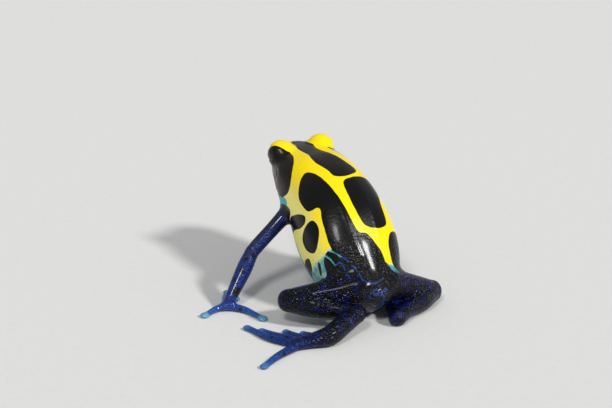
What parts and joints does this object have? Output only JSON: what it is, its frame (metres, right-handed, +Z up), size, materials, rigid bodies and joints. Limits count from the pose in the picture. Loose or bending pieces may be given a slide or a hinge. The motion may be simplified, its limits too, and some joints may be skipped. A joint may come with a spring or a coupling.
{
  "type": "dyeing poison dart frog",
  "caption": "Life-size dart frog sitting raised on its arms, one arm and one leg spread to the side, black and yellow above with dark blue limbs.",
  "frame": {"origin": "middle of the frog's outline on the floor it rests on", "axes": "+Z up, the frog faces -Y and its left side is +X"},
  "size_m": [0.0506, 0.0492, 0.0282],
  "materials": {
    "back_skin": "wet gloss",
    "limb_skin": "wet gloss",
    "eye": "wet gloss"
  },
  "bodies": {
    "root": {"eye_left": "eye", "eye_right": "eye", "head": "back_skin", "lower_jaw": "back_skin", "torso": "back_skin", "upper_arm_left": "limb_skin", "forearm_left": "limb_skin", "palm_left": "limb_skin", "first_finger_left": "limb_skin", "second_finger_left": "limb_skin", "third_finger_left": "limb_skin", "fourth_finger_left": "limb_skin", "thigh_left": "limb_skin", "shank_left": "limb_skin", "tarsus_left": "limb_skin", "sole_left": "limb_skin", "first_toe_left": "limb_skin", "second_toe_left": "limb_skin", "third_toe_left": "limb_skin", "fourth_toe_left": "limb_skin", "fifth_toe_left": "limb_skin", "upper_arm_right": "limb_skin", "forearm_right": "limb_skin", "palm_right": "limb_skin", "first_finger_right": "limb_skin", "second_finger_right": "limb_skin", "third_finger_right": "limb_skin", "fourth_finger_right": "limb_skin", "thigh_right": "limb_skin", "shank_right": "limb_skin", "tarsus_right": "limb_skin", "sole_right": "limb_skin", "first_toe_right": "limb_skin", "second_toe_right": "limb_skin", "third_toe_right": "limb_skin", "fourth_toe_right": "limb_skin", "fifth_toe_right": "limb_skin"}
  },
  "joints": []
}
